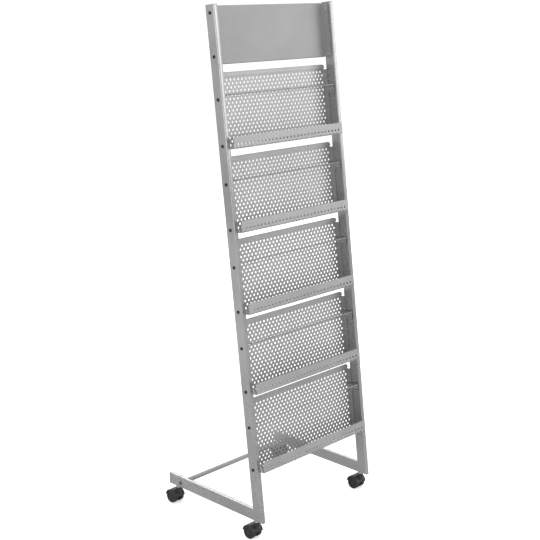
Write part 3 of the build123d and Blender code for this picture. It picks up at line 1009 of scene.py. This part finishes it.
@dataclass
class RetainerWire:
    """The bent wire in front of a tray's brochures, and its copies."""

    stand: Stand
    count: int = 5
    drop: float = 230 * MM
    height: float = 1216 * MM
    radius: float = 1.75 * MM
    leg: float = 221.05 * MM
    end: float = 40 * MM
    bend: float = 7 * MM

    def build(self, finishes: Finishes) -> None:
        """Bend the top wire, copy it down the posts, and dress all of them."""
        wire = self._bent("retainer_rod_1")
        wire.absorb([self._weld_bead(sign) for sign in (-1, 1)])
        wire.smooth(40).place(self.stand.matrix())
        wires = self.stand.copies_down(wire, "retainer_rod", self.drop, self.count)
        for number, piece in enumerate(wires, start=1):
            piece.hand_over("rack_frame", "wire_steel", finishes.wire, f"retainer_wire_{number}")

    def _bent(self, name: str) -> Workpiece:
        """Return the rod drawn from leg to leg round two spun corners."""
        leg, bend, end, z = self.leg, self.bend, self.end, self.height
        reach = self.radius * 1.05
        wire = Workpiece.ring(name, self.radius, 14, (-leg, end, z))

        def ring_at(x: float, y: float) -> Workpiece:
            """Pick the ring of points round a place on the rod's path."""
            return wire.pick(Pick.POINTS, lambda c, n: (Vector((x, y, z)) - c).length < reach)

        ring_at(-leg, end).extrude(0, bend - end, 0)
        ring_at(-leg, bend).spin(RIGHT_ANGLE, 8, (bend - leg, bend, z), (0, 0, 1))
        ring_at(bend - leg, 0).extrude(2 * (leg - bend), 0, 0)
        ring_at(leg - bend, 0).spin(RIGHT_ANGLE, 8, (leg - bend, bend, z), (0, 0, 1))
        ring_at(leg, bend).extrude(0, end - bend, 0)
        wire.weld()
        for x in (-leg, leg):
            ring_at(x, end).close_ring()
            wire.pick(Pick.FACES, lambda c, n: abs(c.x - x) < 1e-4 and abs(c.y - end) < 1e-5).inset(0.5 * MM, 0.0)
            wire.shift(0, 0.4 * MM, 0)
        return wire.outward()

    def _weld_bead(self, sign: int) -> Workpiece:
        """Return a flattened weld between a leg and its lug."""
        depth = 23 * MM
        bead = Workpiece.rod("bead", 2.0 * MM, 12 * MM, 12, (sign * (self.leg + 0.6 * MM), depth, self.height),
                             (RIGHT_ANGLE, 0, 0))
        bead.pick(Pick.EDGES, lambda c, n: abs(n.y) < 0.5).bevel(1.2 * MM, 3)
        bead.pick_all().stretch(0.55, 1, 0.7, (sign * (self.leg + 0.9 * MM), depth, self.height))
        return bead


@dataclass
class ButtonScrews:
    """Socket button-head screws: one is modelled, and the rest are copies."""

    stand: Stand
    head: float = 4.75 * MM
    rise: float = 2.4 * MM
    shank: float = 2.5 * MM
    socket: float = 3 * MM
    depth: float = 17 * MM
    tops: tuple[float, ...] = tuple((1277.5 - 230 * number) * MM for number in range(5))

    def build(self, finishes: Finishes) -> None:
        """Model the tray and header screws, and dress them."""
        tray = [height for top in self.tops for height in (top - 72.5 * MM, top - 198 * MM)]
        header = [1435 * MM, 1319.5 * MM]
        for side in Side:
            self._row(f"{side.word}_tray_screw_heads", [(side, height) for height in tray], 20.2 * MM).hand_over(
                "rack_frame", "black_screw", finishes.screw, f"{side.word}_tray_screws")
        self._row("header_screw_heads", [(side, height) for side in Side for height in header], 18.2 * MM).hand_over(
            "rack_frame", "black_screw", finishes.screw, "header_screws")

    def _screw(self, name: str, length: float) -> Workpiece:
        """Return one screw with its head above the origin's plane and its shank below."""
        screw = Workpiece.rod(name, self.head, self.rise, 32, (0, 0, self.rise / 2))
        screw.pick(Pick.EDGES, lambda c, n: c.z > self.rise * 0.99 and abs(n.z) < 0.5).bevel(self.rise * 0.7, 5)
        screw.pick(Pick.FACES, lambda c, n: n.z < -0.9).inset(self.head - self.shank).extrude(0, 0, -length)
        screw.pick(Pick.EDGES, lambda c, n: c.z < -length * 0.99).bevel(0.5 * MM, 2)
        cutter = Workpiece.rod("cutter", self.socket / math.sqrt(3), 3 * MM, 6, (0, 0, self.rise))
        screw.finish_with("BOOLEAN", operation="DIFFERENCE", solver="EXACT", object=cutter.obj)
        bpy.data.objects.remove(cutter.obj)
        return screw

    def _row(self, name: str, places: list[tuple[Side, float]], length: float) -> Workpiece:
        """Return screws at several places as one piece.

        Args:
            name: The piece's name.
            places: Side and height along the post of each screw.
            length: The shanks' length.

        Returns:
            The joined screws, placed.
        """
        first = self._screw(name, length)
        screws = []
        for number, (side, height) in enumerate(places):
            turn = Matrix.Rotation(side.value * RIGHT_ANGLE, 4, "Y") @ Matrix.Rotation(0.7 * number, 4, "Z")
            place = self.stand.matrix() @ Matrix.Translation((side.value * self.stand.half_width, self.depth, height))
            screws.append(first.copy(f"screw_{number}", place @ turn))
        bpy.data.objects.remove(first.obj)
        screws[0].obj.name = name
        screws[0].obj.data.name = name
        return screws[0].absorb(screws[1:]).smooth(32)


@dataclass
class Caster:
    """A twin-wheel swivel caster: new wheels and a new hood on the CAD axle and stem."""

    corner: Corner
    radius: float = 20 * MM
    width: float = 14.5 * MM
    shoulder: float = 3 * MM
    hood: float = 22.5 * MM
    hood_wall: float = 1.6 * MM
    hood_half: float = 19.5 * MM
    web: float = 8 * MM
    web_radius: float = 16 * MM
    boss: float = 8.5 * MM
    boss_low: float = 34 * MM
    boss_top: float = 51.5 * MM
    brim: float = 2 * MM

    def build(self, finishes: Finishes) -> None:
        """Model both wheels, and dress every piece of the caster."""
        word = self.corner.value
        for side in Side:
            node = f"{word}_caster_{side.word}_wheel"
            self._wheel(f"{word}_{side.word}_tread", side, node).hand_over(
                f"{word}_{side.word}_wheel", "caster_tread", finishes.tread, node)
        self._hood(f"{word}_hood_shell").hand_over(f"{word}_caster", "caster_nylon", finishes.nylon,
                                                   f"{word}_caster_hood")
        finishes.dress_node(f"{word}_caster_axle", finishes.nylon)
        finishes.dress_node(f"{word}_caster_stem", finishes.zinc)

    def _hood(self, name: str) -> Workpiece:
        """Return the arched cover with the web between the wheels and the boss round the stem.

        Known fault: the boss isn't cut back for the wheels, as the CAD hood's is, and runs about 3 mm into both.

        Args:
            name: The piece's name.

        Returns:
            The hood, placed.
        """
        word = self.corner.value
        low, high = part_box(f"{word}_caster_axle")
        axle = (low + high) / 2
        low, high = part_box(f"{word}_caster_stem")
        stem = (low + high) / 2
        across = (0, RIGHT_ANGLE, 0)
        brim = (0, 0, axle.z + self.brim)
        hood = Workpiece.rod(name, self.hood, 2 * self.hood_half, 64, tuple(axle), across)
        hood.pick(Pick.FACES, lambda c, n: abs(n.x) > 0.9)
        bpy.ops.mesh.delete(type="FACE")
        hood.pick_all().cut(brim, (0, 0, -1), clear=True)
        hood.outward()
        face_down(hood, lambda c: True, Vector((0, 0, 1)))
        hood.finish_with("SOLIDIFY", thickness=self.hood_wall, offset=-1.0, use_even_offset=True)
        hood.finish_with("BEVEL", width=0.7 * MM, segments=3, limit_method="ANGLE", angle_limit=math.radians(50))
        web = Workpiece.rod("web", self.web_radius, self.web, 64, tuple(axle), across)
        web.pick(Pick.EDGES, lambda c, n: abs(n.x) < 0.5).bevel(0.8 * MM, 3)
        web.pick(Pick.FACES, lambda c, n: abs(n.x) > 0.99).inset(3 * MM)
        rib = Workpiece.rod("rib", self.hood - self.hood_wall / 2, self.web, 64, tuple(axle), across)
        rib.pick_all().cut(brim, (0, 0, -1), clear=True, fill=True)
        boss = Workpiece.rod("boss", self.boss, self.boss_top - self.boss_low, 40,
                             (stem.x, stem.y, (self.boss_top + self.boss_low) / 2))
        boss.pick(Pick.FACES, lambda c, n: n.z > 0.99).inset(1.5 * MM).inset(0.4 * MM, -0.4 * MM)
        boss.pick(Pick.EDGES, lambda c, n: abs(n.z) < 0.5 and c.z > self.boss_top - 0.5 * MM
                  and (c - Vector((stem.x, stem.y, c.z))).length > self.boss * 0.95).bevel(1.1 * MM, 4)
        boss.pick(Pick.EDGES, lambda c, n: abs(n.z) < 0.5 and c.z < self.boss_low + 2 * MM).bevel(0.8 * MM, 2)
        return hood.absorb([web, rib, boss]).smooth(35)

    def _wheel(self, name: str, side: Side, node: str) -> Workpiece:
        """Return one wheel with a dished outer face, a raised rim ring and a hub.

        Args:
            name: The piece's name.
            side: Which of the twin wheels it is.
            node: The CAD wheel whose place it takes.

        Returns:
            The wheel, placed.
        """
        low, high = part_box(node)
        middle = (low + high) / 2
        wheel = Workpiece.rod(name, self.radius, self.width, 56)
        wheel.pick(Pick.EDGES, lambda c, n: abs(n.z) < 0.5).bevel(self.shoulder, 5)
        wheel.pick(Pick.FACES, lambda c, n: n.z > 0.99).inset(1.2 * MM).inset(0.5 * MM, -0.5 * MM)
        wheel.inset(0.8 * MM).inset(0.6 * MM, -2.0 * MM).inset(3.2 * MM, -0.1 * MM)
        wheel.inset(0.4 * MM, 0.6 * MM).inset(3.0 * MM, 0.1 * MM).inset(0.3 * MM, -0.5 * MM)
        turn = Matrix.Rotation(side.value * RIGHT_ANGLE, 4, "Y")
        return wheel.smooth(32).place(Matrix.Translation(middle) @ turn)


@dataclass
class Studio:
    """Pale floor, soft lights and the camera."""

    stand: Stand
    yaw: float = math.radians(45.966)
    pitch: float = math.radians(-14.3745)
    lens: float = 75.99
    eye: tuple[float, float, float] = (-2.3624, -2.0824, 1.5124)

    def build(self) -> None:
        """Lay the floor, hang the lights and set up the camera."""
        self._floor()
        self._world()
        self._lamp("key_softbox", (3.0, -2.9, 2.2), (0, 0, 0.9), (2.6, 2.2), 42)
        self._lamp("top_softbox", (0.0, -0.6, 3.4), (0, 0, 0.3), (2.6, 2.0), 18)
        self._lamp("back_softbox", (3.1, 3.0, 2.1), (0, 0, 0.1), (2.2, 1.2), 38)
        self._lamp("fill_softbox", (-3.2, 0.5, 0.95), (0, 0, 0.5), (2.2, 2.2), 40)
        self._camera()

    def _floor(self) -> None:
        """Lay a large pale floor under the rack, painted darker where the rack's glossy surfaces reflect it."""
        Workpiece.clear_bench()
        bpy.ops.mesh.primitive_grid_add(x_subdivisions=8, y_subdivisions=8, size=60)
        floor = bpy.context.object
        floor.name = "studio_floor"
        material = bpy.data.materials.new("studio_floor_white")
        material.use_nodes = True
        w = Wiring(material.node_tree)
        shader = material.node_tree.nodes["Principled BSDF"]
        shader.inputs["Roughness"].default_value = 0.9
        shader.inputs["Specular IOR Level"].default_value = 0.1
        # Painted reflection: glossy rays see the floor at 0.64 grey instead of 0.92, so the rack reflects a darker
        # floor than the camera sees.
        darker_in_reflections = w.add("ShaderNodeLightPath").outputs["Is Glossy Ray"]
        colour = w.blend(darker_in_reflections, (0.92, 0.92, 0.92, 1), (0.64, 0.64, 0.64, 1))
        w.tree.links.new(colour, shader.inputs["Base Color"])
        shader.inputs["Emission Color"].default_value = (1, 1, 1, 1)
        camera = w.add("ShaderNodeLightPath").outputs["Is Camera Ray"]
        w.tree.links.new(w.maths("MULTIPLY", camera, 0.5), shader.inputs["Emission Strength"])
        floor.data.materials.append(material)

    def _world(self) -> None:
        """Surround the rack with white for the camera and a softer room for its light."""
        world = bpy.data.worlds.new("studio_world")
        bpy.context.scene.world = world
        world.use_nodes = True
        tree = world.node_tree
        w = Wiring(tree)
        around = w.add("ShaderNodeTexCoord").outputs["Generated"]
        up = w.add("ShaderNodeSeparateXYZ", {0: around}).outputs[2]
        compass = w.add("ShaderNodeVectorMath", {0: around, 1: (0.71, 0.70, 0.0)},
                        operation="DOT_PRODUCT").outputs["Value"]
        room = w.maths("MULTIPLY", w.between(up, -0.05, 0.7, 0.72, 0.75), w.between(compass, 0.2, 0.9, 1.0, 0.45))
        white = w.add("ShaderNodeLightPath").outputs["Is Camera Ray"]
        background = tree.nodes["Background"]
        strength = w.maths("MAXIMUM", room, w.maths("MULTIPLY", white, 1.05))
        tree.links.new(strength, background.inputs["Strength"])
        background.inputs["Color"].default_value = (1, 1, 1, 1)

    def _lamp(self, name: str, place: tuple[float, float, float], aim: tuple[float, float, float],
              size: tuple[float, float], power: float) -> None:
        """Hang one rectangular softbox.

        Args:
            name: The lamp's name.
            place: Where it hangs.
            aim: The point that it faces.
            size: Its width and height.
            power: Its power in watts.
        """
        data = bpy.data.lights.new(name, "AREA")
        data.shape = "RECTANGLE"
        data.size, data.size_y = size
        data.energy = power
        lamp = bpy.data.objects.new(name, data)
        lamp.location = place
        lamp.rotation_mode = "QUATERNION"
        lamp.rotation_quaternion = (Vector(aim) - Vector(place)).to_track_quat("-Z", "Y")
        lamp.visible_camera = False
        bpy.context.scene.collection.objects.link(lamp)

    def _camera(self) -> None:
        """Stand the camera at the rack's front left, a little above it."""
        data = bpy.data.cameras.new("camera")
        data.sensor_width = 36
        data.lens = self.lens
        data.clip_end = 80
        camera = bpy.data.objects.new("camera", data)
        camera.location = (self.eye[0], self.stand.front + self.eye[1], self.stand.base + self.eye[2])
        look = Vector((math.sin(self.yaw) * math.cos(self.pitch), math.cos(self.yaw) * math.cos(self.pitch),
                       math.sin(self.pitch)))
        camera.rotation_mode = "QUATERNION"
        camera.rotation_quaternion = look.to_track_quat("-Z", "Y")
        bpy.context.scene.collection.objects.link(camera)
        bpy.context.scene.camera = camera


def main() -> None:
    """Build every sub-assembly, dress the CAD nodes that stay, and set up the studio."""
    logging.basicConfig(level=logging.INFO, format="%(name)s: %(message)s")
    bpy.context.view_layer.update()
    stand = Stand.read()
    finishes = Finishes.mix()
    for side in Side:
        SideFrame(side, stand).build(finishes)
    Crossbar().build(finishes)
    HeaderPanel(stand).build(finishes)
    BrochureTray(stand).build(finishes)
    RetainerWire(stand).build(finishes)
    ButtonScrews(stand).build(finishes)
    for corner in Corner:
        Caster(corner).build(finishes)
    for node in ("crossbar_plugs", "caster_inserts"):
        finishes.dress_node(node, finishes.zinc)
    for node in ("crossbar_bolts", "tray_washers"):
        finishes.dress_node(node, finishes.bolt)
    for node in ("tray_nuts", "header_nuts"):
        finishes.dress_node(node, finishes.sheet)
    Studio(stand).build()
    bpy.context.scene.view_settings.view_transform = "Standard"
    Workpiece.clear_bench()


if __name__ == "__main__":
    main()
